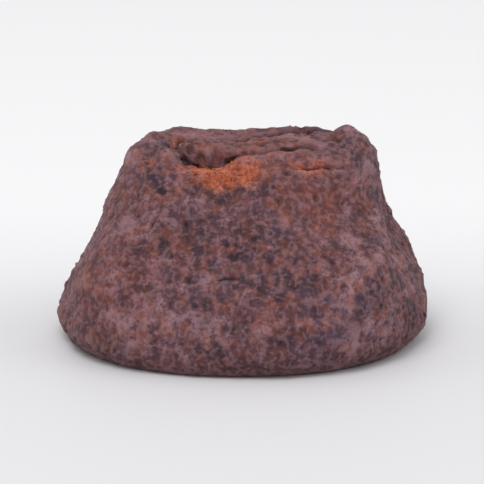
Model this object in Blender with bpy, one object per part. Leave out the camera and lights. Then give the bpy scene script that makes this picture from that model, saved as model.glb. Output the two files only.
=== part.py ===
"""A cocoa-dusted chocolate truffle, one solid, standing on its own flat foot.

The piece is a squat, rounded mound: an almost round foot, flanks that draw in towards the top,
and a narrow crest along X. The soft tail of the ganache has folded over along the crest, so a
crumpled tongue lies there between two lips, with an open crack on either side of it.

Metres, +Z up. +X runs along the crest, and the front lip, on the -Y side, is the lower one.
The origin is at the middle of the foot's underside.
"""

import math

import bmesh
import bpy
from mathutils import Matrix, Vector, noise

# Driving sizes.
FOOT_LENGTH = 0.0320
FOOT_WIDTH = 0.0300
HEIGHT = 0.0180

# The foot: its widest level, and how much of its outline is the flat underside.
BELLY_LEVEL = 0.13
FLAT_SHARE = 0.82
FOOT_SQUARENESS = 2.15
WAIST_SQUARENESS = 2.9

# The crest: its two ends, its half width, and how far its middle sags between the raised ends.
# Its front lip is the lower one, and the tongue lies in a trough between the two lips.
CREST_LEFT = 0.60 * FOOT_LENGTH / 2
CREST_RIGHT = 0.74 * FOOT_LENGTH / 2
CREST_HALF_WIDTH = 0.31 * FOOT_WIDTH / 2
CREST_SQUARENESS = 2.5
CREST_TURN = math.radians(5)
CREST_SAG = 0.0004
FRONT_LIP_DROP = 0.0006
TROUGH = 0.0020
TROUGH_GAP = 0.00030
TROUGH_WALL = 0.00040
EDGE_LEVEL = 0.87

# Where the lips dip: front (-1) or back (1), place along the crest, reach, depth.
LIP_DIPS = (
    (-1, -0.0035, 0.0026, 0.0012),
    (-1, 0.0072, 0.0024, 0.0003),
    (1, 0.0025, 0.0040, 0.0005),
)

# The folded tongue: broad at its root on the right, narrow at its loose end on the left.
TONGUE_ROOT = 0.82 * CREST_RIGHT
TONGUE_TIP = -0.58 * CREST_LEFT
TONGUE_HALF_WIDTH_ROOT = 0.0027
TONGUE_HALF_WIDTH_TIP = 0.0015
TONGUE_HALF_THICKNESS = 0.0012
TONGUE_PROUD = 0.00005
TONGUE_TIP_CURL = 0.00055
TONGUE_ROOT_DROP = 0.0005
TONGUE_OFFSET = 0.0002
TONGUE_WANDER = 0.0005
TONGUE_TIP_FORWARD = 0.0020
TONGUE_BOXINESS = 0.6
CRACK_HALF_WIDTH = 0.00030
CRACK_HALF_DEPTH = 0.0014
CRACK_OUT = 0.00016
CRACK_SINK = 0.0003
PIT_OFFSET = Vector((-0.0002, 0.0009, 0.0002))
PIT_RADIUS = 0.00062

# The open cracks beside the tongue: front (-1) or back (1), and from where to where along it.
CRACKS = (
    (-1, 0.12, 0.62),
    (-1, 0.60, 1.02),
    (1, 0.38, 1.02),
)

# Shallow hollows (negative) and swellings of the flanks:
# compass angle in degrees from +X, level, reach, depth.
SWELLINGS = (
    (-100, 0.56, 0.0075, -0.0007),
    (-62, 0.30, 0.0060, 0.0005),
    (-38, 0.74, 0.0042, -0.0008),
    (-150, 0.36, 0.0070, 0.0004),
    (-128, 0.80, 0.0035, 0.0004),
    (20, 0.35, 0.0060, 0.0006),
    (62, 0.62, 0.0060, -0.0008),
    (105, 0.36, 0.0080, 0.0007),
    (150, 0.60, 0.0060, -0.0006),
)
WAVINESS = 0.00045
WAVE_LENGTH = 0.0050
CRUMPLE = 0.00030
CRUMPLE_LENGTH = 0.0019
TONGUE_CRUMPLE = 0.00042
TONGUE_CRUMPLE_LENGTH = 0.0017
NOISE_PLACES = (Vector((0, 0, 0)), Vector((31.7, 5.2, 0)), Vector((0, 47.3, 11.9)))

# Mesh finish.
CUTS = 72
TONGUE_CUTS = 20
VOXEL = 0.00030
KEEP_SHARE = 0.12
FOOT_TRIM = 0.0003


def mix(a, b, share):
    return a + (b - a) * share


def smooth_step(share):
    t = min(max(share, 0.0), 1.0)
    return t * t * (3 - 2 * t)


def signed_power(value, power):
    return math.copysign(abs(value) ** power, value)


def drawn_in(angle, level):
    """How far a section has drawn in along X and along Y, from 0 at the foot to 1 at the crest."""
    rise = min(max((level - BELLY_LEVEL) / (1 - BELLY_LEVEL), 0.0), 1.0)
    # The left end is almost a plain slope; the right end draws in early, then stands upright.
    slope = mix(rise**0.88, smooth_step(rise), 0.2)
    upright = mix(rise, smooth_step((level - 0.17) / 0.56), 0.82)
    inward_x = mix(slope, upright, smooth_step(0.5 + 0.7 * math.cos(angle)))
    # The front and the back stay full up to the crest.
    inward_y = mix(rise**1.5, smooth_step(rise**1.3), 0.7)
    return inward_x, inward_y


def section_point(angle, level):
    """A point of the outline of the level section at this share of the height."""
    inward_x, inward_y = drawn_in(angle, level)
    crest_end = CREST_RIGHT if math.cos(angle) > 0 else CREST_LEFT
    half_length = mix(FOOT_LENGTH / 2, crest_end, inward_x)
    half_width = mix(FOOT_WIDTH / 2, CREST_HALF_WIDTH, inward_y)
    waist = math.sin(math.pi * inward_x)
    squareness = mix(FOOT_SQUARENESS, CREST_SQUARENESS, inward_x)
    squareness = mix(squareness, WAIST_SQUARENESS, 0.6 * waist)
    x = half_length * signed_power(math.cos(angle), 2 / squareness)
    y = half_width * signed_power(math.sin(angle), 2 / squareness)
    return Matrix.Rotation(CREST_TURN * inward_x, 2) @ Vector((x, y))


def lip_height(x, y):
    """The height of the two lips: raised ends, a sagging middle, and the front one lower."""
    end = CREST_RIGHT if x > 0 else CREST_LEFT
    along = min(abs(x) / end, 1.0)
    front = smooth_step(0.5 - y / CREST_HALF_WIDTH)
    drop = CREST_SAG * (1 - along**2) + FRONT_LIP_DROP * (1 - 0.6 * along**3) * front
    for side, place, reach, depth in LIP_DIPS:
        nearness = front if side < 0 else 1 - front
        drop += depth * nearness * math.exp(-(((x - place) / reach) ** 2))
    return HEIGHT - drop


def tongue_side(share):
    """How far the tongue's middle lies to the back of the crest's own line."""
    side = TONGUE_OFFSET + TONGUE_WANDER * math.sin(2.2 * math.pi * share + 0.5)
    return side - TONGUE_TIP_FORWARD * smooth_step((share - 0.25) / 0.75)


def tongue_half_width(share):
    """Half the tongue's width: it narrows from its root, with a pinch before its flared tip."""
    pinch = 1 - 0.20 * math.exp(-(((share - 0.62) / 0.10) ** 2))
    flare = 1 + 0.22 * math.exp(-(((share - 0.86) / 0.07) ** 2))
    narrowing = mix(TONGUE_HALF_WIDTH_ROOT, TONGUE_HALF_WIDTH_TIP, share**0.8)
    return narrowing * pinch * flare


def crest_height(x, y):
    """The height of the crest: the lips, less the trough that follows the tongue's outline."""
    flat = Matrix.Rotation(-CREST_TURN, 2) @ Vector((x, y))
    length = TONGUE_ROOT - TONGUE_TIP
    share = (TONGUE_ROOT - flat.x) / length
    inside = min(max(share, 0.0), 1.0)
    beyond = max(share - 0.96, -share, 0.0) * length
    beside = max(abs(flat.y - tongue_side(inside)) - tongue_half_width(inside), 0.0)
    away = math.hypot(beyond, beside)
    bed = smooth_step((TROUGH_GAP + TROUGH_WALL - away) / TROUGH_WALL)
    # There is no trough at the root, where the tongue grows out of the crest.
    bed *= smooth_step(share / 0.22)
    return lip_height(flat.x, flat.y) - TROUGH * bed


def mound_point(direction):
    """Where a point of a unit sphere lies on the mound."""
    angle = math.atan2(direction.y, direction.x)
    latitude = math.asin(max(-1.0, min(1.0, direction.z))) / (math.pi / 2)
    foot_end, flank_end = -0.45, 0.42
    if latitude < foot_end:
        # The flat underside, then a quarter turn up to the widest level.
        share = (latitude + 1) / (foot_end + 1)
        turn = min(max(share - 0.6, 0.0) / 0.4, 1.0) * math.pi / 2
        reach = min(share / 0.6, 1.0) * FLAT_SHARE + (1 - FLAT_SHARE) * math.sin(turn)
        place = section_point(angle, 0.0) * reach
        return Vector((place.x, place.y, BELLY_LEVEL * HEIGHT * (1 - math.cos(turn))))
    if latitude < flank_end:
        share = (latitude - foot_end) / (flank_end - foot_end)
        level = mix(BELLY_LEVEL, EDGE_LEVEL, share)
        place = section_point(angle, level)
        return Vector((place.x, place.y, HEIGHT * level))
    # The crest's rounded edge, then its top, drawn together towards the middle.
    share = (latitude - flank_end) / (1 - flank_end)
    turn = min(share / 0.5, 1.0) * math.pi / 2
    level = mix(EDGE_LEVEL, 1, math.sin(turn))
    reach = 1 - 0.20 * (1 - math.cos(turn))
    reach *= 1 - max(share - 0.5, 0.0) / 0.5
    place = section_point(angle, level) * reach
    height = mix(HEIGHT * EDGE_LEVEL, crest_height(place.x, place.y), math.sin(turn))
    return Vector((place.x, place.y, height))


def crumple_at(point, length, amount):
    """A shift that varies smoothly over this length, from noise read at three places."""
    place = point / length
    return amount * Vector([noise.noise(place + apart) for apart in NOISE_PLACES])


def swell(point):
    """Moves a point by the hollows and swellings, a long waviness and the crest's crumples."""
    outward = Vector((point.x, point.y, 0.25 * HEIGHT)).normalized()
    push = WAVINESS * noise.noise(point / WAVE_LENGTH)
    for compass, level, radius, depth in SWELLINGS:
        place = section_point(math.radians(compass), level)
        centre = Vector((place.x, place.y, HEIGHT * level))
        push += depth * math.exp(-(((point - centre).length / radius) ** 2))
    grip = smooth_step(point.z / (BELLY_LEVEL * HEIGHT))
    near_top = smooth_step((point.z / HEIGHT - 0.78) / 0.14)
    return point + outward * push * grip + crumple_at(point, CRUMPLE_LENGTH, CRUMPLE * near_top)


def ball(cuts):
    """A unit sphere of even square faces."""
    shape = bmesh.new()
    bmesh.ops.create_cube(shape, size=2)
    bmesh.ops.subdivide_edges(shape, edges=shape.edges, cuts=cuts, use_grid_fill=True)
    for vertex in shape.verts:
        vertex.co.normalize()
    return shape


def make_mound():
    mound = ball(CUTS)
    for vertex in mound.verts:
        vertex.co = swell(mound_point(vertex.co))
    return mound


def bent_along(line, section, cuts, boxiness=0.8):
    """A closed, round-ended strip along line(share), section(share) = half width, half depth.

    A boxiness of 1 makes its section an oval, and less makes it squarer.
    """
    strip = ball(cuts)
    for vertex in strip.verts:
        share = 0.5 + 0.5 * vertex.co.x
        around = math.atan2(vertex.co.z, vertex.co.y)
        ends = (1 - abs(vertex.co.x) ** 4) ** 0.5 if abs(vertex.co.x) < 1 else 0.0
        ahead = line(min(share + 0.02, 1.0)) - line(max(share - 0.02, 0.0))
        across = Vector((0, 0, 1)).cross(ahead).normalized()
        upward = ahead.cross(across).normalized()
        half_width, half_depth = section(share)
        offset = across * half_width * signed_power(math.cos(around), boxiness)
        offset += upward * half_depth * signed_power(math.sin(around), boxiness)
        vertex.co = line(share) + offset * ends
    strip.normal_update()
    bmesh.ops.recalc_face_normals(strip, faces=strip.faces)
    return strip


def tongue_line(share):
    """The middle of the tongue, from its root on the right to its loose end on the left."""
    x = mix(TONGUE_ROOT, TONGUE_TIP, share)
    z = lip_height(x, 0.25 * CREST_HALF_WIDTH) + TONGUE_PROUD - TONGUE_HALF_THICKNESS
    z += TONGUE_TIP_CURL * smooth_step((share - 0.65) / 0.35)
    z -= TONGUE_ROOT_DROP * (1 - smooth_step(share / 0.3))
    return Matrix.Rotation(CREST_TURN, 3, "Z") @ Vector((x, tongue_side(share), z))


def make_tongue():
    def section(share):
        return tongue_half_width(share), TONGUE_HALF_THICKNESS

    tongue = bent_along(tongue_line, section, TONGUE_CUTS, TONGUE_BOXINESS)
    for vertex in tongue.verts:
        vertex.co += crumple_at(vertex.co, TONGUE_CRUMPLE_LENGTH, TONGUE_CRUMPLE)
    return tongue


def make_crack(side, start, end):
    """The open slit along one side of the tongue, from start to end along it."""

    def line(share):
        along = mix(start, end, share)
        out = tongue_half_width(along) + CRACK_OUT * (1 + math.sin(14 * along))
        beside = Matrix.Rotation(CREST_TURN, 3, "Z") @ Vector((0, side * out, -CRACK_SINK))
        return tongue_line(along) + beside

    def section(share):
        return CRACK_HALF_WIDTH, CRACK_HALF_DEPTH

    return bent_along(line, section, TONGUE_CUTS)


def make_pit():
    """The small hole behind the tongue's curled tip."""
    pit = ball(TONGUE_CUTS // 2)
    for vertex in pit.verts:
        vertex.co = tongue_line(0.97) + PIT_OFFSET + vertex.co * PIT_RADIUS
    return pit


def object_from(shape, name, helper=False):
    mesh = bpy.data.meshes.new(name)
    shape.to_mesh(mesh)
    shape.free()
    made = bpy.data.objects.new(name, mesh)
    made.hide_render = helper
    bpy.context.scene.collection.objects.link(made)
    return made


def add_boolean(target, operation, other):
    modifier = target.modifiers.new(operation.title(), "BOOLEAN")
    modifier.operation = operation
    modifier.solver = "MANIFOLD"
    modifier.object = other


def add_skin(target):
    """One even skin over the joined shapes, softened, then thinned to what its curves need."""
    skin = target.modifiers.new("Skin", "REMESH")
    skin.mode = "VOXEL"
    skin.voxel_size = VOXEL
    soften = target.modifiers.new("Soften", "SMOOTH")
    soften.factor = 0.5
    soften.iterations = 2
    thin = target.modifiers.new("Thin", "DECIMATE")
    thin.ratio = KEEP_SHARE


def make_truffle():
    mound = object_from(make_mound(), "mound")
    tongue = object_from(make_tongue(), "tongue", helper=True)
    cuts = [object_from(make_pit(), "pit", helper=True)]
    for side, start, end in CRACKS:
        cuts.append(object_from(make_crack(side, start, end), "crack", helper=True))
    add_boolean(mound, "UNION", tongue)
    for cut in cuts:
        add_boolean(mound, "DIFFERENCE", cut)
    add_skin(mound)
    graph = bpy.context.evaluated_depsgraph_get()
    mesh = bpy.data.meshes.new_from_object(mound.evaluated_get(graph))
    mesh.name = "truffle"
    for helper in (mound, tongue, *cuts):
        bpy.data.objects.remove(helper)
    truffle = bpy.data.objects.new("truffle", mesh)
    bpy.context.scene.collection.objects.link(truffle)
    return truffle


def trim_and_centre(truffle):
    """Cuts the foot flat, centres the solid over the origin and gives it its exact size."""
    shape = bmesh.new()
    shape.from_mesh(truffle.data)
    low = min(vertex.co.z for vertex in shape.verts)
    cut = bmesh.ops.bisect_plane(
        shape,
        geom=shape.verts[:] + shape.edges[:] + shape.faces[:],
        plane_co=(0, 0, low + FOOT_TRIM),
        plane_no=(0, 0, 1),
        clear_inner=True,
    )
    rim = [edge for edge in cut["geom_cut"] if isinstance(edge, bmesh.types.BMEdge)]
    bmesh.ops.contextual_create(shape, geom=rim)
    lows = [min(vertex.co[i] for vertex in shape.verts) for i in range(3)]
    highs = [max(vertex.co[i] for vertex in shape.verts) for i in range(3)]
    middle = Vector(((lows[0] + highs[0]) / 2, (lows[1] + highs[1]) / 2, lows[2]))
    wanted = (FOOT_LENGTH, FOOT_WIDTH, HEIGHT)
    fit = Matrix.Diagonal([w / (high - low) for w, low, high in zip(wanted, lows, highs)])
    for vertex in shape.verts:
        vertex.co = fit @ (vertex.co - middle)
    bmesh.ops.recalc_face_normals(shape, faces=shape.faces)
    shape.to_mesh(truffle.data)
    shape.free()


def cocoa_dust():
    material = bpy.data.materials.new("cocoa_dust")
    material.use_nodes = True
    shader = material.node_tree.nodes["Principled BSDF"]
    shader.inputs["Base Color"].default_value = (0.155, 0.078, 0.084, 1)
    shader.inputs["Roughness"].default_value = 0.92
    shader.inputs["Metallic"].default_value = 0.0
    return material


def main():
    for left_over in list(bpy.data.objects):
        bpy.data.objects.remove(left_over)
    truffle = make_truffle()
    trim_and_centre(truffle)
    truffle.data.shade_smooth()
    truffle.data.materials.append(cocoa_dust())


main()
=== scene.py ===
# A cocoa-dusted chocolate truffle on a pale table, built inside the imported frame.
import math
import random

import bmesh
import bpy
import numpy as np
from mathutils import Matrix, Vector, noise


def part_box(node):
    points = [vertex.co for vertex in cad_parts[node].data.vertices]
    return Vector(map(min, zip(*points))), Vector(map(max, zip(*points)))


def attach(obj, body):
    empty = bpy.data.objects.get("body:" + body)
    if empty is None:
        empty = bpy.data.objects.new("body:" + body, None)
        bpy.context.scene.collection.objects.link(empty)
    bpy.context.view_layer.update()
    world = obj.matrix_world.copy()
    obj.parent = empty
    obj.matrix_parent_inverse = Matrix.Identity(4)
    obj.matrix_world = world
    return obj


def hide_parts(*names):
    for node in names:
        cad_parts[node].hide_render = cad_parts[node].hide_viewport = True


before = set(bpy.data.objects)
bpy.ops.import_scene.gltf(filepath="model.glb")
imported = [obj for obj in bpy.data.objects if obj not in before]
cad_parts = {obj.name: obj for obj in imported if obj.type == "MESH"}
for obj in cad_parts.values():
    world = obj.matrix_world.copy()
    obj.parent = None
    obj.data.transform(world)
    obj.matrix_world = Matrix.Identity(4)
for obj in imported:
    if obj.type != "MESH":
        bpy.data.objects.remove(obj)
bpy.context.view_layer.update()        # one body called root, one node called truffle
nodeLow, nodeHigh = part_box("truffle")
footLength = nodeHigh.x - nodeLow.x
footWidth = nodeHigh.y - nodeLow.y
fullHeight = nodeHigh.z - nodeLow.z
mm = 0.001


def mix(a, b, share):
    return a + (b - a) * share


def smoothStep(share):
    t = min(max(share, 0.0), 1.0)
    return t * t * (3 - 2 * t)


def signedPower(value, power):
    return math.copysign(abs(value) ** power, value)


def bell(distance, reach):
    return math.exp(-((distance / reach) ** 2))


noisePlaces = (Vector((0, 0, 0)), Vector((31.7, 5.2, 0)), Vector((0, 47.3, 11.9)))


def crumpleAt(point, length, amount):
    # a smooth shift, the same on each run
    place = point / length
    return amount * Vector([noise.noise(place + apart) for apart in noisePlaces])


# the mound: round foot, drawn-in flanks, narrow crest along X
moundForm = {
    "cuts": 104,
    "bellyLevel": 0.13,          # the widest level, as a share of the height
    "flatShare": 0.82,           # how much of the foot lies flat
    "footSquareness": 2.15,
    "waistSquareness": 2.9,
    "waistShare": 0.6,
    "leftPower": 0.88,           # the left end is almost a plain slope
    "leftEase": 0.2,
    "rightLevels": (0.17, 0.56),  # the right end draws in from here, over this share of the height
    "rightEase": 0.82,
    "sidePower": 1.5,            # the front and the back stay full up to the crest
    "sideEase": 0.7,
    "crestLeft": 0.60 * footLength / 2,
    "crestRight": 0.74 * footLength / 2,
    "crestHalfWidth": 0.31 * footWidth / 2,
    "crestSquareness": 2.5,
    "crestTurn": math.radians(5),
    "crestSag": 0.4 * mm,
    "frontLipDrop": 0.6 * mm,
    "trough": 2.0 * mm,          # depth of the bed that the tongue lies in
    "troughGap": 0.30 * mm,      # how far its wall stands from the tongue
    "troughWall": 0.40 * mm,
    "edgeLevel": 0.87,
    "edgeRound": 0.20,           # how far the crest's edge leans in as it turns over
    # dips of the front (-1) and back (1) lip: place, reach, depth
    "lipDips": (
        (-1, -3.5 * mm, 2.6 * mm, 1.2 * mm),
        (-1, 7.2 * mm, 2.4 * mm, 0.3 * mm),
        (1, 2.5 * mm, 4.0 * mm, 0.5 * mm),
    ),
    # dents (negative) and swellings: compass angle from +X, level, reach, depth
    "swellings": (
        (-100, 0.56, 7.5 * mm, -0.7 * mm),
        (-62, 0.30, 6.0 * mm, 0.5 * mm),
        (-38, 0.74, 4.2 * mm, -0.8 * mm),
        (-150, 0.36, 7.0 * mm, 0.4 * mm),
        (-128, 0.80, 3.5 * mm, 0.4 * mm),
        (20, 0.35, 6.0 * mm, 0.6 * mm),
        (62, 0.62, 6.0 * mm, -0.8 * mm),
        (105, 0.36, 8.0 * mm, 0.7 * mm),
        (150, 0.60, 6.0 * mm, -0.6 * mm),
    ),
    "waviness": 0.45 * mm,
    "waveLength": 5.0 * mm,
    "crumple": 0.30 * mm,
    "crumpleLength": 1.9 * mm,
    "crumpleLevels": (0.78, 0.14),   # from this level up it fades in, over this share of the height
}


def drawnIn(angle, level):
    # how far a section has drawn in along X and along Y, from 0 at the foot to 1 at the crest
    form = moundForm
    belly = form["bellyLevel"]
    rise = min(max((level - belly) / (1 - belly), 0.0), 1.0)
    rightStart, rightReach = form["rightLevels"]
    left = mix(rise ** form["leftPower"], smoothStep(rise), form["leftEase"])
    right = mix(rise, smoothStep((level - rightStart) / rightReach), form["rightEase"])
    inwardX = mix(left, right, smoothStep(0.5 + 0.7 * math.cos(angle)))
    inwardY = mix(rise ** form["sidePower"], smoothStep(rise**1.3), form["sideEase"])
    return inwardX, inwardY


def sectionPoint(angle, level):
    inwardX, inwardY = drawnIn(angle, level)
    crestEnd = moundForm["crestRight"] if math.cos(angle) > 0 else moundForm["crestLeft"]
    halfLength = mix(footLength / 2, crestEnd, inwardX)
    halfWidth = mix(footWidth / 2, moundForm["crestHalfWidth"], inwardY)
    squareness = mix(moundForm["footSquareness"], moundForm["crestSquareness"], inwardX)
    waist = moundForm["waistShare"] * math.sin(math.pi * inwardX)
    squareness = mix(squareness, moundForm["waistSquareness"], waist)
    x = halfLength * signedPower(math.cos(angle), 2 / squareness)
    y = halfWidth * signedPower(math.sin(angle), 2 / squareness)
    return Matrix.Rotation(moundForm["crestTurn"] * inwardX, 2) @ Vector((x, y))


def lipHeight(x, y):
    end = moundForm["crestRight"] if x > 0 else moundForm["crestLeft"]
    along = min(abs(x) / end, 1.0)
    front = smoothStep(0.5 - y / moundForm["crestHalfWidth"])
    drop = moundForm["crestSag"] * (1 - along**2)
    drop += moundForm["frontLipDrop"] * (1 - 0.6 * along**3) * front
    for side, place, reach, depth in moundForm["lipDips"]:
        nearness = front if side < 0 else 1 - front
        drop += depth * bell(x - place, reach) * nearness
    return fullHeight - drop


def awayFromTongue(x, y):
    # how far a place on the crest is from the tongue's edge, its share of the way from root to tip,
    # and the place itself, turned so that the crest runs along X
    flat = Matrix.Rotation(-moundForm["crestTurn"], 2) @ Vector((x, y))
    length = tongueForm["root"] - tongueForm["tip"]
    share = (tongueForm["root"] - flat.x) / length
    inside = min(max(share, 0.0), 1.0)
    beyond = max(share - tongueForm["bedEnd"], -share, 0.0) * length
    beside = max(abs(flat.y - tongueSide(inside)) - tongueHalfWidth(inside), 0.0)
    return math.hypot(beyond, beside), share, flat


def crestHeight(x, y):
    # the lips, with the tongue's bed sunk between them
    away, share, flat = awayFromTongue(x, y)
    wall = moundForm["troughWall"]
    bed = smoothStep((moundForm["troughGap"] + wall - away) / wall)
    bed *= smoothStep(share / tongueForm["bedStart"])
    return lipHeight(flat.x, flat.y) - moundForm["trough"] * bed


def moundPoint(direction):
    # where a point of a unit sphere lies on the mound: foot, flank and crest, by its latitude
    angle = math.atan2(direction.y, direction.x)
    latitude = math.asin(max(-1.0, min(1.0, direction.z))) / (math.pi / 2)
    footEnd, flankEnd = -0.45, 0.42
    flatPart, edgePart = 0.6, 0.5        # how much of the foot is flat, and of the crest its edge
    belly, edge = moundForm["bellyLevel"], moundForm["edgeLevel"]
    if latitude < footEnd:
        # the flat underside, then a quarter turn up to the widest level
        share = (latitude + 1) / (footEnd + 1)
        turn = min(max(share - flatPart, 0.0) / (1 - flatPart), 1.0) * math.pi / 2
        flat = moundForm["flatShare"]
        reach = min(share / flatPart, 1.0) * flat + (1 - flat) * math.sin(turn)
        place = sectionPoint(angle, 0.0) * reach
        return Vector((place.x, place.y, belly * fullHeight * (1 - math.cos(turn))))
    if latitude < flankEnd:
        level = mix(belly, edge, (latitude - footEnd) / (flankEnd - footEnd))
        place = sectionPoint(angle, level)
        return Vector((place.x, place.y, fullHeight * level))
    # the crest's rounded edge, then its top, drawn together towards the middle
    share = (latitude - flankEnd) / (1 - flankEnd)
    turn = min(share / edgePart, 1.0) * math.pi / 2
    reach = (1 - moundForm["edgeRound"] * (1 - math.cos(turn))) * (1 - max(share - edgePart, 0.0) / edgePart)
    place = sectionPoint(angle, mix(edge, 1, math.sin(turn))) * reach
    height = mix(fullHeight * edge, crestHeight(place.x, place.y), math.sin(turn))
    return Vector((place.x, place.y, height))


def ball(cuts):
    # a unit sphere of even square faces
    shape = bmesh.new()
    bmesh.ops.create_cube(shape, size=2)
    bmesh.ops.subdivide_edges(shape, edges=shape.edges, cuts=cuts, use_grid_fill=True)
    for vertex in shape.verts:
        vertex.co.normalize()
    return shape


def makeMound():
    crumpleStart, crumpleReach = moundForm["crumpleLevels"]
    centres = []
    for compass, level, reach, depth in moundForm["swellings"]:
        place = sectionPoint(math.radians(compass), level)
        centres.append((Vector((place.x, place.y, fullHeight * level)), reach, depth))
    mound = ball(moundForm["cuts"])
    for vertex in mound.verts:
        point = moundPoint(vertex.co)
        outward = Vector((point.x, point.y, 0.25 * fullHeight)).normalized()
        push = moundForm["waviness"] * noise.noise(point / moundForm["waveLength"])
        for centre, reach, depth in centres:
            push += depth * bell((point - centre).length, reach)
        grip = smoothStep(point.z / (moundForm["bellyLevel"] * fullHeight))
        nearTop = smoothStep((point.z / fullHeight - crumpleStart) / crumpleReach)
        crumple = crumpleAt(point, moundForm["crumpleLength"], moundForm["crumple"] * nearTop)
        vertex.co = point + outward * push * grip + crumple
    return mound


# the tongue: the soft tail that folded over along the crest
tongueForm = {
    "cuts": 44,
    "root": 0.82 * moundForm["crestRight"],
    "tip": -0.58 * moundForm["crestLeft"],
    "halfWidthRoot": 2.7 * mm,
    "halfWidthTip": 1.5 * mm,
    "halfThickness": 1.2 * mm,
    "proud": 0.05 * mm,          # how far its top stands above the lips
    "tipCurl": 0.55 * mm,
    "boxiness": 0.6,             # 1 is an oval section, less is squarer
    "offset": 0.2 * mm,          # how far its middle lies behind the crest's own line
    "wander": 0.5 * mm,
    "tipForward": 2.0 * mm,
    "rootDrop": 0.5 * mm,        # the root runs into the crest
    # place along it from root to tip, reach, amount
    "pinch": (0.62, 0.10, 0.20),
    "flare": (0.86, 0.07, 0.22),
    "bedStart": 0.22,            # no bed at the root, where the tongue grows out
    "bedEnd": 0.96,              # where the round end of the bed starts
    "crumple": 0.42 * mm,
    "crumpleLength": 1.7 * mm,
    "tear": 0.34 * mm,           # extra raggedness at the loose end
    "tearLength": 0.8 * mm,
    "tearReach": 3.0 * mm,
    "nubs": 26,                  # torn crumbs still stuck along its edges
    "nubSizes": (0.18 * mm, 0.40 * mm),
}


def turned(point):
    # a point turned about Z as far as the crest is
    return Matrix.Rotation(moundForm["crestTurn"], 3, "Z") @ Vector(point)


def tongueSide(share):
    side = tongueForm["wander"] * math.sin(2.2 * math.pi * share + 0.5) + tongueForm["offset"]
    return side - tongueForm["tipForward"] * smoothStep((share - 0.25) / 0.75)


def tongueLine(share):
    form = tongueForm
    x, y = mix(form["root"], form["tip"], share), tongueSide(share)
    z = lipHeight(x, 0.25 * moundForm["crestHalfWidth"]) + form["proud"] - form["halfThickness"]
    z += form["tipCurl"] * smoothStep((share - 0.65) / 0.35)
    z -= form["rootDrop"] * (1 - smoothStep(share / 0.3))
    return turned((x, y, z))


def tongueHalfWidth(share):
    narrowing = mix(tongueForm["halfWidthRoot"], tongueForm["halfWidthTip"], share**0.8)
    place, reach, amount = tongueForm["pinch"]
    pinch = 1 - amount * bell(share - place, reach)
    place, reach, amount = tongueForm["flare"]
    flare = 1 + amount * bell(share - place, reach)
    return narrowing * pinch * flare


def bentAlong(line, section, cuts, boxiness=0.8):
    # a closed, round-ended strip along line(share); section(share) is its half width and half depth
    step = 0.02
    strip = ball(cuts)
    for vertex in strip.verts:
        share = 0.5 + 0.5 * vertex.co.x
        around = math.atan2(vertex.co.z, vertex.co.y)
        ends = (1 - abs(vertex.co.x) ** 4) ** 0.5 if abs(vertex.co.x) < 1 else 0.0
        ahead = line(min(share + step, 1.0)) - line(max(share - step, 0.0))
        across = Vector((0, 0, 1)).cross(ahead).normalized()
        upward = ahead.cross(across).normalized()
        halfWidth, halfDepth = section(share)
        offset = across * halfWidth * signedPower(math.cos(around), boxiness)
        offset += upward * halfDepth * signedPower(math.sin(around), boxiness)
        vertex.co = line(share) + offset * ends
    strip.normal_update()
    bmesh.ops.recalc_face_normals(strip, faces=strip.faces)
    return strip


def makeTongue():
    form = tongueForm

    def section(share):
        return tongueHalfWidth(share), form["halfThickness"]

    tongue = bentAlong(tongueLine, section, form["cuts"], form["boxiness"])
    tip = tongueLine(1.0)
    for vertex in tongue.verts:
        torn = form["tear"] * bell((vertex.co - tip).length, form["tearReach"])
        shift = crumpleAt(vertex.co, form["crumpleLength"], form["crumple"])
        vertex.co += shift + crumpleAt(vertex.co, form["tearLength"], torn)
    return tongue


def makeNub(place, radius):
    nub = bmesh.new()
    bmesh.ops.create_icosphere(nub, subdivisions=3, radius=1)
    for vertex in nub.verts:
        rough = 1 + 0.45 * noise.noise(vertex.co * 1.3 + place * 900)
        flattened = Vector((1.25 * vertex.co.x, vertex.co.y, 0.8 * vertex.co.z))
        vertex.co = place + flattened * radius * rough
    return nub


def tongueNubs():
    draw = random.Random(11)
    for _ in range(tongueForm["nubs"]):
        share = draw.uniform(0.25, 0.95) ** 0.8
        taper = (1 - abs(2 * share - 1) ** 4) ** 0.5     # the tongue's rounded end
        side = draw.choice((-1, 1))
        out = side * taper * tongueHalfWidth(share) * draw.uniform(0.65, 0.92)
        lift = taper * tongueForm["halfThickness"] * draw.uniform(0.2, 0.75)
        radius = mix(*tongueForm["nubSizes"], draw.random() ** 2)
        yield makeNub(tongueLine(share) + turned((0, out, lift)), radius)


# the open cracks beside the tongue, and the small holes behind it
crackForm = {
    "cuts": 40,
    "halfWidth": 0.24 * mm,
    "halfDepth": 1.4 * mm,
    "out": 0.16 * mm,
    "sink": 0.3 * mm,
    "ragged": 0.26 * mm,
    "raggedLength": 0.9 * mm,
    "holeCuts": 12,
    # side of the tongue (front is -1), start and end along it, and how wide it gapes
    "cracks": ((-1, 0.12, 0.62, 1.0), (-1, 0.60, 1.02, 1.2), (1, 0.38, 1.02, 1.3)),
    # holes: where along the tongue, offset from its middle, radius
    "holes": (
        (0.97, (-0.2 * mm, 1.3 * mm, 0.0 * mm), 0.55 * mm),
        (0.66, (0.0 * mm, 1.9 * mm, 0.4 * mm), 0.55 * mm),
        (0.50, (0.0 * mm, 2.2 * mm, 0.5 * mm), 0.35 * mm),
    ),
}


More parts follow.
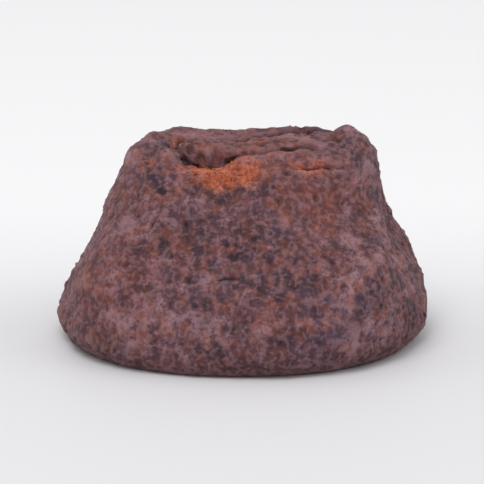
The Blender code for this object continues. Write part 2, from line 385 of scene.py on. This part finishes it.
def makeCrack(side, start, end, gape):
    # an open slit along one side of the tongue, wider and narrower by turns
    def line(share):
        along = mix(start, end, share)
        out = tongueHalfWidth(along) + crackForm["out"] * (1 + math.sin(14 * along))
        return tongueLine(along) + turned((0, side * out, -crackForm["sink"]))

    def section(share):
        breath = 0.75 + 0.35 * math.sin(9 * share + 2 * side) + 0.25 * math.sin(23 * share + 1)
        return crackForm["halfWidth"] * gape * max(breath, 0.3), crackForm["halfDepth"]

    crack = bentAlong(line, section, crackForm["cuts"])
    for vertex in crack.verts:
        vertex.co += crumpleAt(vertex.co, crackForm["raggedLength"], crackForm["ragged"])
    return crack


def makeHoles():
    for share, offset, radius in crackForm["holes"]:
        hole = ball(crackForm["holeCuts"])
        centre = tongueLine(share) + Vector(offset)
        for vertex in hole.verts:
            vertex.co = centre + vertex.co * radius
        yield hole


# one fine skin over all of it
skinForm = {
    "firstVoxel": 0.16 * mm,
    "voxel": 0.13 * mm,
    "soften": 0.5,
    "softenRounds": 2,
    "footTrim": 0.3 * mm,
    "triangles": 190000,
}


def objectFrom(shapes, name):
    mesh = bpy.data.meshes.new(name)
    joined = bmesh.new()
    for shape in shapes:
        shape.to_mesh(mesh)
        joined.from_mesh(mesh)
        shape.free()
    joined.to_mesh(mesh)
    joined.free()
    made = bpy.data.objects.new(name, mesh)
    bpy.context.scene.collection.objects.link(made)
    return made


def addSkin(target, voxel):
    skin = target.modifiers.new("Skin", "REMESH")
    skin.mode = "VOXEL"
    skin.voxel_size = voxel


def finished(thing):
    # the mesh that an object's modifiers leave, without the object
    graph = bpy.context.evaluated_depsgraph_get()
    mesh = bpy.data.meshes.new_from_object(thing.evaluated_get(graph))
    bpy.data.objects.remove(thing)
    return mesh


def makeSkin():
    cracks = [makeCrack(*crack) for crack in crackForm["cracks"]]
    gaps = objectFrom([*cracks, *makeHoles()], "gaps")
    addSkin(gaps, skinForm["voxel"])
    folded = objectFrom([makeMound(), makeTongue()], "folded")
    addSkin(folded, skinForm["firstVoxel"])       # joins what overlaps
    cut = folded.modifiers.new("Cut", "BOOLEAN")
    cut.operation = "DIFFERENCE"
    cut.solver = "MANIFOLD"
    cut.object = gaps
    cracked = bmesh.new()
    cracked.from_mesh(finished(folded))
    bpy.data.objects.remove(gaps)
    whole = objectFrom([cracked, *tongueNubs()], "whole")
    addSkin(whole, skinForm["voxel"])
    soften = whole.modifiers.new("Soften", "SMOOTH")
    soften.factor = skinForm["soften"]
    soften.iterations = skinForm["softenRounds"]
    return finished(whole)


def standOnFoot(mesh):
    # cuts the foot flat and fits the whole to the frame's box
    shape = bmesh.new()
    shape.from_mesh(mesh)
    low = min(vertex.co.z for vertex in shape.verts)
    cut = bmesh.ops.bisect_plane(
        shape,
        geom=shape.verts[:] + shape.edges[:] + shape.faces[:],
        plane_co=(0, 0, low + skinForm["footTrim"]),
        plane_no=(0, 0, 1),
        clear_inner=True,
    )
    rim = [edge for edge in cut["geom_cut"] if isinstance(edge, bmesh.types.BMEdge)]
    bmesh.ops.contextual_create(shape, geom=rim)
    lows = [min(vertex.co[i] for vertex in shape.verts) for i in range(3)]
    highs = [max(vertex.co[i] for vertex in shape.verts) for i in range(3)]
    for vertex in shape.verts:
        for i in range(3):
            share = (vertex.co[i] - lows[i]) / (highs[i] - lows[i])
            vertex.co[i] = mix(nodeLow[i], nodeHigh[i], share)
    bmesh.ops.recalc_face_normals(shape, faces=shape.faces)
    shape.to_mesh(mesh)
    shape.free()


# powder relief, pushed into and out of the skin
reliefForm = {
    # amount and length of each layer of lumps, coarse to fine
    "layers": (
        (0.15 * mm, 2.9 * mm),
        (0.20 * mm, 1.2 * mm),
        (0.13 * mm, 0.55 * mm),
        (0.07 * mm, 0.30 * mm),
    ),
    "tongueAmount": 0.26 * mm,   # sharp creases on the tongue
    "tongueLength": 1.3 * mm,
    "pitDepth": 0.20 * mm,
    "pitSpacing": 1.6 * mm,
    "pitReach": 0.30,            # their radius, as a share of the spacing
    "pitShare": 0.40,            # how many of the possible pits are there
    "crestCalm": 0.45,           # how much lower the lumps are on the crest
    "footFade": 1.2 * mm,        # they fade out over this height, down to the flat foot
    "spare": 0.1 * mm,           # how far a lump may stand out of the frame's box
    "creaseWander": 0.25 * mm,
    "creaseWanderLength": 0.9 * mm,
    # on the front: middle x and z, half length, half width, depth (less than 0 stands out), turn
    "creases": (
        (-1.3 * mm, 8.3 * mm, 0.9 * mm, 0.20 * mm, 0.34 * mm, 8),
        (7.0 * mm, 16.0 * mm, 2.7 * mm, 0.26 * mm, 0.46 * mm, -4),
        (-7.6 * mm, 12.4 * mm, 1.6 * mm, 0.22 * mm, 0.20 * mm, 60),
        (11.4 * mm, 8.6 * mm, 3.6 * mm, 1.00 * mm, -0.36 * mm, 82),
    ),
}


def pitAt(point):
    distances, places = noise.voronoi(point / reliefForm["pitSpacing"])
    if noise.cell(places[0] * 7.3) > reliefForm["pitShare"] * 2 - 1:
        return 0.0
    return max(1 - (distances[0] / reliefForm["pitReach"]) ** 2, 0.0)


def creaseAt(point, normal):
    front = smoothStep(-normal.y / 0.4)          # 0 on whatever faces away from the front
    if front == 0:
        return 0.0
    wander = reliefForm["creaseWander"] * noise.noise(point / reliefForm["creaseWanderLength"])
    depth = 0.0
    for x, z, halfLength, halfWidth, amount, turn in reliefForm["creases"]:
        away = Matrix.Rotation(-math.radians(turn), 2) @ Vector((point.x - x, point.z - z))
        away.y += wander
        depth += amount * math.exp(-((away.x / halfLength) ** 4)) * bell(away.y, halfWidth)
    return front * depth


def onTongue(point):
    # 1 on the tongue's top, fading to 0 just beside it and below it
    away = awayFromTongue(point.x, point.y)[0]
    return smoothStep(1 - away / (0.7 * mm)) * smoothStep((point.z / fullHeight - 0.80) / 0.12)


def reliefAt(point, normal):
    push = 0.0
    for i, (amount, length) in enumerate(reliefForm["layers"]):
        push += amount * noise.noise(point / length + noisePlaces[i % 3] * (i + 1))
    push *= 1 - reliefForm["crestCalm"] * smoothStep((point.z / fullHeight - 0.86) / 0.10)
    if point.z > 0.8 * fullHeight:
        ridge = 0.5 - abs(noise.noise(point / reliefForm["tongueLength"] + noisePlaces[1])) * 2
        push += reliefForm["tongueAmount"] * onTongue(point) * ridge
    return push - reliefForm["pitDepth"] * pitAt(point) - creaseAt(point, normal)


def pointsOf(mesh):
    found = np.empty(len(mesh.vertices) * 3, np.float32)
    mesh.vertices.foreach_get("co", found)
    return found.reshape(-1, 3).astype(float)


def normalsOf(mesh):
    found = np.empty(len(mesh.vertices) * 3, np.float32)
    mesh.vertex_normals.foreach_get("vector", found)
    return found.reshape(-1, 3).astype(float)


def raiseRelief(mesh):
    points, normals = pointsOf(mesh), normalsOf(mesh)
    push = np.array([reliefAt(Vector(point), Vector(normal)) for point, normal in zip(points, normals)])
    grip = np.clip(points[:, 2] / reliefForm["footFade"], 0, 1)
    points += normals * (push * grip)[:, None]
    low, high = np.array(nodeLow), np.array(nodeHigh)
    points = np.clip(points, low - reliefForm["spare"], high + reliefForm["spare"])
    points[:, 2] = np.maximum(points[:, 2], low[2])
    mesh.vertices.foreach_set("co", points.astype(np.float32).ravel())
    mesh.update()


def thinned(mesh):
    # fewer triangles where the surface is flattest, such as on the foot
    mesh.calc_loop_triangles()
    dense = bpy.data.objects.new("dense", mesh)
    bpy.context.scene.collection.objects.link(dense)
    thin = dense.modifiers.new("Thin", "DECIMATE")
    thin.ratio = skinForm["triangles"] / len(mesh.loop_triangles)
    return finished(dense)


def averaged(values, edges, rounds):
    # each point's values mixed with its neighbours' in each round
    here = np.concatenate([edges[:, 0], edges[:, 1]])
    there = np.concatenate([edges[:, 1], edges[:, 0]])
    count = np.maximum(np.bincount(here, minlength=len(values)), 1)
    columns = [column.copy() for column in values.reshape(len(values), -1).T]
    for _ in range(rounds):
        for i, column in enumerate(columns):
            around = np.bincount(here, weights=column[there], minlength=len(column)) / count
            columns[i] = 0.5 * column + 0.5 * around
    return np.array(columns).T.reshape(values.shape)


# where the powder lies loose, warm or cool; places and sizes in bands and patches are in millimetres
looseForm = {
    # bands of loose orange cocoa: middle of the band, half length and half width, strength
    "bands": (
        ((-1.5, -4.8, 15.6), (4.0, 1.7), 1.15),
        ((-7.0, -4.1, 15.9), (1.5, 1.0), 0.80),
        ((7.0, -4.0, 16.2), (3.2, 0.7), 0.75),
        ((-1.5, 4.5, 16.6), (6.8, 1.0), 0.85),
        ((-5.6, -0.6, 17.2), (1.0, 0.9), 0.55),
    ),
    # brown tints: middle, reach, strength
    "tints": (
        ((6.3, -6.2, 13.9), 4.2, 1.05),
        ((0.5, -2.0, 17.4), 6.0, 1.0),
        ((-11.5, -7.5, 6.5), 5.0, 0.8),
        ((-9.6, -5.5, 12.0), 3.2, 0.65),
        ((1.8, -13.0, 4.6), 2.6, 0.55),
        ((4.6, -13.5, 5.2), 2.0, 0.35),
        ((-4.0, 12.0, 7.0), 4.0, 0.55),
        ((12.0, 4.0, 9.0), 4.0, 0.45),
        ((-3.0, 6.5, 14.0), 3.6, 0.5),
    ),
    # darker, bluer places: middle, reach, strength
    "cool": (
        ((7.4, -12.0, 4.6), 2.8, 0.8),
        ((-6.2, -4.8, 15.2), 1.8, 0.7),
        ((2.0, -8.4, 12.0), 2.4, 0.5),
        ((-3.5, -11.5, 7.0), 2.2, 0.4),
        ((9.0, 9.5, 8.0), 3.4, 0.6),
        ((-11.0, 6.0, 6.0), 3.0, 0.5),
    ),
    "patchLength": 1.5 * mm,
    "hollowShare": 0.20,         # how much gathers in any hollow of the crest
    # how deep a point lies in its surroundings, wide and near: rounds of averaging, full depth in mm
    "hollow": (90, 0.30),
    "grit": (8, 0.03),
}


def patchesAt(points, patches):
    # how strongly each point is marked by the strongest of these round patches
    found = []
    for point in points:
        place = Vector(point) / mm
        strongest = 0.0
        for middle, reach, strength in patches:
            strongest = max(strongest, strength * bell((place - Vector(middle)).length, reach))
        found.append(strongest)
    return np.array(found)


def looseAt(point, normal, hollow):
    place = turned(point) / mm       # the bands lie as far from X as the crest, the other way
    amount = 0.0
    for middle, (halfLength, halfWidth), strength in looseForm["bands"]:
        away = place - Vector(middle)
        reach = (away.x / halfLength) ** 2 + (away.y / (halfWidth + 0.8)) ** 2 + (away.z / halfWidth) ** 2
        amount = max(amount, strength * math.exp(-(reach**1.3)))
    patch = 0.5 + 0.9 * noise.noise(point / looseForm["patchLength"])
    crest = smoothStep((point.z / fullHeight - 0.80) / 0.15)
    upward = smoothStep((normal.z + 0.05) / 0.5)
    amount *= (0.75 + 0.45 * patch) * (1 - 0.75 * onTongue(point))
    return amount + looseForm["hollowShare"] * hollow * crest * upward


def setMark(mesh, name, values):
    attribute = mesh.attributes.new(name, "FLOAT", "POINT")
    attribute.data.foreach_set("value", np.asarray(values, np.float32))


def markSurface(mesh):
    # each point's marks, which the finish reads
    points, normals = pointsOf(mesh), normalsOf(mesh)
    edges = np.empty(len(mesh.edges) * 2, np.int32)
    mesh.edges.foreach_get("vertices", edges)
    edges = edges.reshape(-1, 2)
    marks = {}
    for name in ("hollow", "grit"):
        rounds, fullDepth = looseForm[name]
        depth = np.einsum("ij,ij->i", averaged(points, edges, rounds) - points, normals) / mm
        marks[name] = np.clip(depth / fullDepth, -1, 1)
    loose = [
        looseAt(Vector(point), Vector(normal), max(deep, 0.0))
        for point, normal, deep in zip(points, normals, marks["hollow"])
    ]
    marks["loose"] = averaged(np.array(loose), edges, 2)
    marks["warm"] = patchesAt(points, looseForm["tints"])
    marks["cool"] = patchesAt(points, looseForm["cool"])
    for name, values in marks.items():
        setMark(mesh, name, values)
    return points, normals, marks


def tone(red, green, blue):
    # a colour as a screen shows it, 0 to 255, in the shader's own units
    linear = []
    for part in (red / 255, green / 255, blue / 255):
        linear.append(part / 12.92 if part < 0.0405 else ((part + 0.055) / 1.055) ** 2.4)
    return (*linear, 1)


class NodeBench:
    # short ways to add shader nodes
    def __init__(self, name):
        self.material = bpy.data.materials.new(name)
        self.material.use_nodes = True
        self.tree = self.material.node_tree
        self.shader = self.tree.nodes["Principled BSDF"]
        self.place = self.add("ShaderNodeTexCoord").outputs["Object"]

    def add(self, kind, **settings):
        node = self.tree.nodes.new(kind)
        for name, value in settings.items():
            setattr(node, name, value)
        return node

    def link(self, source, socket):
        if hasattr(source, "links"):
            self.tree.links.new(source, socket)
        else:
            socket.default_value = source

    def noise(self, length, detail=2.0, rough=0.5, shift=0.0):
        node = self.add("ShaderNodeTexNoise", noise_dimensions="4D")
        node.inputs["W"].default_value = shift
        node.inputs["Scale"].default_value = 1 / length
        node.inputs["Detail"].default_value = detail
        node.inputs["Roughness"].default_value = rough
        self.link(self.place, node.inputs["Vector"])
        return node.outputs["Fac"]

    def attribute(self, name):
        return self.add("ShaderNodeAttribute", attribute_name=name).outputs["Fac"]

    def math(self, operation, a, b=0.0, clamp=False):
        node = self.add("ShaderNodeMath", operation=operation, use_clamp=clamp)
        self.link(a, node.inputs[0])
        self.link(b, node.inputs[1])
        return node.outputs[0]

    def total(self, *terms):
        # the sum of (value, weight) pairs
        value, weight = terms[0]
        found = self.math("MULTIPLY", value, weight)
        for value, weight in terms[1:]:
            found = self.math("ADD", found, self.math("MULTIPLY", value, weight))
        return found

    def band(self, value, low, high, least=0.0, most=1.0):
        node = self.add("ShaderNodeMapRange", interpolation_type="SMOOTHSTEP")
        self.link(value, node.inputs["Value"])
        for name, setting in (("From Min", low), ("From Max", high), ("To Min", least), ("To Max", most)):
            node.inputs[name].default_value = setting
        return node.outputs["Result"]

    def blend(self, share, a, b):
        node = self.add("ShaderNodeMix", data_type="RGBA")
        self.link(share, node.inputs["Factor"])
        self.link(a, node.inputs["A"])
        self.link(b, node.inputs["B"])
        return node.outputs["Result"]

    def ramp(self, value, stops):
        node = self.add("ShaderNodeValToRGB")
        self.link(value, node.inputs["Fac"])
        marks = node.color_ramp.elements
        while len(marks) < len(stops):
            marks.new(0.5)
        for mark, (place, colour) in zip(marks, stops):
            mark.position = place
            mark.color = colour
        return node.outputs["Color"]


dustLook = {
    "bare": tone(44, 33, 43),         # where the chocolate shows through
    "shade": tone(76, 53, 60),
    "dust": tone(104, 73, 79),
    "pale": tone(149, 114, 120),
    "brown": tone(124, 68, 56),
    "warm": tone(142, 80, 58),
    "cool": tone(72, 62, 80),
    "orangeDark": tone(128, 64, 44),
    "orange": tone(170, 82, 48),
    "orangePale": tone(192, 112, 74),
    # painted shade laid into hollows and cracks
    "crack": tone(50, 31, 34),
    "foot": tone(74, 43, 45),         # painted shade, darker just above the foot where it meets the table
    # the mottling: size of its blotches, and share in the mix
    "broad": (2.8 * mm, 0.38),
    "middle": (0.95 * mm, 0.40),
    "grain": (0.24 * mm, 0.22),
    "mottling": ((0.40, "bare"), (0.46, "shade"), (0.515, "dust"), (0.585, "pale")),
    "orangeMottling": ((0.40, "orangeDark"), (0.49, "orange"), (0.62, "orangePale")),
    "tintLength": 1.5 * mm,
    "speckLength": 1.0 * mm,
    "speckAmount": 0.42,
    "coolLength": 1.8 * mm,
    "coolAmounts": (0.75, 0.24),      # where it is marked, and everywhere
    "orangeAmount": 0.90,
    "footShadeBand": (0.2 * mm, 4.0 * mm),
    "footShadeAmount": 0.62,
    "hollowShadeAmount": 0.9,
    "tipLightAmount": 0.30,                # painted highlight, paler tips of the grit
    "dipShadeAmount": 0.22,                # painted shade, darker dips between them
    "roughness": (0.74, 0.95),        # bare chocolate, thick powder
    "powderLength": 0.13 * mm,
    "bumpDepth": 0.07 * mm,
}


def colourRamp(bench, value, stops):
    return bench.ramp(value, [(place, dustLook[name]) for place, name in stops])


def addTints(bench, colour):
    # brown tints, small warm specks and bluer places, each broken up by its own noise
    look = dustLook
    uneven = bench.band(bench.noise(look["tintLength"], detail=3, shift=4.0), 0.38, 0.62, 0.30, 0.72)
    tint = bench.math("MULTIPLY", bench.attribute("warm"), uneven, clamp=True)
    colour = bench.blend(tint, colour, look["brown"])
    specks = bench.noise(look["speckLength"], detail=3, shift=7.0)
    specks = bench.band(specks, 0.45, 0.63, 0.0, look["speckAmount"])
    colour = bench.blend(specks, colour, look["warm"])
    marked, everywhere = look["coolAmounts"]
    uneven = bench.band(bench.noise(look["coolLength"], detail=3, shift=6.0), 0.42, 0.66)
    coolness = bench.math("ADD", bench.math("MULTIPLY", bench.attribute("cool"), marked), everywhere)
    return bench.blend(bench.math("MULTIPLY", coolness, uneven, clamp=True), colour, look["cool"])


def addOrange(bench, colour, middle, grain):
    # loose orange cocoa on the ledges, with a broken edge
    broken = bench.total(
        (bench.math("SUBTRACT", middle, 0.5), 0.9),
        (bench.math("SUBTRACT", grain, 0.5), 0.5),
    )
    amount = bench.math("ADD", bench.attribute("loose"), broken)
    share = bench.band(amount, 0.22, 0.80, 0.0, dustLook["orangeAmount"])
    value = bench.total((middle, 0.45), (grain, 0.55))
    return bench.blend(share, colour, colourRamp(bench, value, dustLook["orangeMottling"]))


def addPaintedLightAndShade(bench, colour):
    # painted shade just above the foot and in hollows and cracks, painted highlights on the tips of the grit
    # and painted shade in the dips between them
    look = dustLook
    height = bench.add("ShaderNodeSeparateXYZ")
    bench.link(bench.place, height.inputs[0])
    # painted shade: the colour darkens towards the foot, where the table meets it
    low = bench.band(height.outputs["Z"], *look["footShadeBand"], look["footShadeAmount"], 0.0)
    colour = bench.blend(low, colour, look["foot"])
    # painted shade: hollows and cracks darkened by how deep they lie
    deep = bench.band(bench.attribute("hollow"), 0.20, 0.85, 0.0, look["hollowShadeAmount"])
    colour = bench.blend(deep, colour, look["crack"])
    # painted highlight on the tips of the grit, painted shade in the dips between them
    paintedTipLight = bench.band(bench.attribute("grit"), -0.9, -0.2, look["tipLightAmount"], 0.0)
    colour = bench.blend(paintedTipLight, colour, look["pale"])
    paintedDipShade = bench.band(bench.attribute("grit"), 0.2, 1.0, 0.0, look["dipShadeAmount"])
    return bench.blend(paintedDipShade, colour, look["bare"])


def addBump(bench, grain):
    bump = bench.add("ShaderNodeBump")
    bump.inputs["Strength"].default_value = 0.9
    bump.inputs["Distance"].default_value = dustLook["bumpDepth"]
    powder = bench.noise(dustLook["powderLength"], detail=3, rough=0.7, shift=5.0)
    bench.link(bench.math("ADD", powder, bench.math("MULTIPLY", grain, 0.8)), bump.inputs["Height"])
    bench.link(bump.outputs["Normal"], bench.shader.inputs["Normal"])


def makeDust(name):
    look = dustLook
    bench = NodeBench(name)
    broadLength, broadShare = look["broad"]
    middleLength, middleShare = look["middle"]
    grainLength, grainShare = look["grain"]
    broad = bench.noise(broadLength, detail=2, shift=1.0)
    middle = bench.noise(middleLength, detail=3, rough=0.6, shift=2.0)
    grain = bench.noise(grainLength, detail=2, rough=0.6, shift=3.0)
    value = bench.total((broad, broadShare), (middle, middleShare), (grain, grainShare))
    colour = colourRamp(bench, value, look["mottling"])
    colour = addTints(bench, colour)
    colour = addOrange(bench, colour, middle, grain)
    colour = addPaintedLightAndShade(bench, colour)
    bench.link(colour, bench.shader.inputs["Base Color"])
    bench.link(bench.band(value, 0.38, 0.50, *look["roughness"]), bench.shader.inputs["Roughness"])
    bench.shader.inputs["Specular IOR Level"].default_value = 0.2
    bench.shader.inputs["Sheen Weight"].default_value = 0.05
    bench.shader.inputs["Sheen Roughness"].default_value = 0.6
    addBump(bench, grain)
    return bench.material


# loose clumps and grains of cocoa
crumbForm = {
    "clumps": 170,
    "clumpSizes": (0.09 * mm, 0.22 * mm),
    "grains": 3200,
    "grainSizes": (0.045 * mm, 0.10 * mm),
    "offFoot": 0.6 * mm,         # none lower than this
    "standOut": 0.3 * mm,        # how far one may stand out above the frame's box
}


def scatter(name, count, sizes, weights, points, normals, marks, seed):
    # one joined mesh of small rough lumps, each half sunk in the surface and coloured like it
    smallest, largest = sizes
    draw = np.random.default_rng(seed)
    picks = draw.choice(len(points), size=count, p=weights / weights.sum())
    joined = bmesh.new()
    for pick in picks:
        radius = smallest + (largest - smallest) * draw.random() ** 2.5
        made = bmesh.ops.create_icosphere(joined, subdivisions=1, radius=1)["verts"]
        spin = Matrix.Rotation(draw.uniform(0, math.tau), 3, Vector(draw.normal(size=3)).normalized())
        flat = Vector((draw.uniform(0.8, 1.4), draw.uniform(0.7, 1.1), draw.uniform(0.6, 1.0)))
        centre = Vector(points[pick]) + Vector(normals[pick]) * radius * draw.uniform(-0.2, 0.35)
        for vertex in made:
            rough = draw.uniform(0.65, 1.2)
            vertex.co = centre + spin @ (vertex.co * flat) * radius * rough
    each = len(joined.verts) // count
    piece = objectFrom([joined], name)
    for mark in ("loose", "warm", "cool"):
        setMark(piece.data, mark, np.repeat(marks[mark][picks], each))
    return piece


def keepInBox(piece):
    low, high = nodeLow, nodeHigh + Vector((0, 0, crumbForm["standOut"]))
    for vertex in piece.data.vertices:
        for i in range(3):
            vertex.co[i] = min(max(vertex.co[i], low[i]), high[i])


# make the three pieces
truffleMesh = makeSkin()
standOnFoot(truffleMesh)
print("skin:", len(truffleMesh.vertices), "points")
raiseRelief(truffleMesh)
truffleMesh = thinned(truffleMesh)
points, normals, marks = markSurface(truffleMesh)
truffleMesh.calc_loop_triangles()
print("relief and powder marks done,", len(truffleMesh.loop_triangles), "triangles")
truffle = bpy.data.objects.new("truffleBody", truffleMesh)
bpy.context.scene.collection.objects.link(truffle)
truffleMesh.shade_smooth()
truffleMesh.materials.clear()
cocoaDust = makeDust("cocoaDust")
truffleMesh.materials.append(cocoaDust)

# how likely a clump or a grain is to settle at each point
up = np.clip(normals[:, 2] + 0.25, 0.0, 1.0)
offFoot = points[:, 2] > crumbForm["offFoot"]
thick = np.clip(marks["loose"], 0, 1)
ledges = (thick**1.5 + 0.02) * up * offFoot
clumps = scatter(
    "cocoaClumps", crumbForm["clumps"], crumbForm["clumpSizes"], ledges, points, normals, marks, 5
)
everywhere = (0.4 + thick) * offFoot * (0.35 + up)
grains = scatter(
    "cocoaGrains", crumbForm["grains"], crumbForm["grainSizes"], everywhere, points, normals, marks, 9
)
for piece in (clumps, grains):
    keepInBox(piece)
    piece.data.materials.append(cocoaDust)
print("clumps and grains:", len(clumps.data.polygons) + len(grains.data.polygons), "faces")

for piece in (truffle, clumps, grains):
    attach(piece, "root")
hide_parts("truffle")


# table, light and camera
studio = {
    "azimuth": 0.0,
    "elevation": 15.0,
    "frameWidth": 0.042,         # what the picture shows across, at the truffle
    "distance": 0.55,
    "aim": 0.46,                 # the height that the camera and the lamps look at, as a share
    "worldLight": 0.75,
    "keyPower": 0.90,
    "keyPlace": (-0.10, -0.22, 0.42),
    "fillPower": 0.10,
    "fillPlace": (0.30, -0.10, 0.25),
    "lampSize": 0.24,
    "tableSize": 2.0,
    "tableNear": (0.745, 0.74, 0.765, 1),
    "tableFar": (0.915, 0.91, 0.925, 1),
    "tableFade": (-0.010, 0.050),    # from where to where, front to back, it turns paler
}


def makeTable():
    shape = bmesh.new()
    bmesh.ops.create_grid(shape, x_segments=1, y_segments=1, size=studio["tableSize"])
    table = objectFrom([shape], "table")
    bench = NodeBench("paleTable")
    across = bench.add("ShaderNodeSeparateXYZ")
    bench.link(bench.place, across.inputs[0])
    fade = bench.band(across.outputs["Y"], *studio["tableFade"])
    colour = bench.blend(fade, studio["tableNear"], studio["tableFar"])
    bench.link(colour, bench.shader.inputs["Base Color"])
    bench.shader.inputs["Roughness"].default_value = 0.6
    bench.shader.inputs["Specular IOR Level"].default_value = 0.3
    table.data.materials.append(bench.material)


def makeLamp(name, place, power, target):
    lamp = bpy.data.objects.new(name, bpy.data.lights.new(name, "AREA"))
    lamp.data.energy = power
    lamp.data.size = studio["lampSize"]
    lamp.location = place
    lamp.rotation_mode = "QUATERNION"
    lamp.rotation_quaternion = (Vector(place) - target).to_track_quat("Z", "Y")
    bpy.context.scene.collection.objects.link(lamp)


def makeCamera(target):
    azimuth, elevation = math.radians(studio["azimuth"]), math.radians(studio["elevation"])
    back = Vector((math.sin(azimuth), -math.cos(azimuth), 0)) * math.cos(elevation)
    back.z = math.sin(elevation)
    camera = bpy.data.objects.new("camera", bpy.data.cameras.new("camera"))
    camera.data.lens = camera.data.sensor_width * studio["distance"] / studio["frameWidth"]
    camera.data.clip_start = 0.01
    camera.location = target + back * studio["distance"]
    camera.rotation_mode = "QUATERNION"
    camera.rotation_quaternion = (-back).to_track_quat("-Z", "Y")
    bpy.context.scene.collection.objects.link(camera)
    bpy.context.scene.camera = camera


aim = Vector((0, 0, studio["aim"] * fullHeight))
makeTable()
makeCamera(aim)
makeLamp("key", studio["keyPlace"], studio["keyPower"], aim)
makeLamp("fill", studio["fillPlace"], studio["fillPower"], aim)
world = bpy.data.worlds.new("softRoom")
world.use_nodes = True
world.node_tree.nodes["Background"].inputs["Color"].default_value = (1, 1, 1, 1)
world.node_tree.nodes["Background"].inputs["Strength"].default_value = studio["worldLight"]
bpy.context.scene.world = world
bpy.context.scene.view_settings.view_transform = "Standard"
print("table, light and camera done")
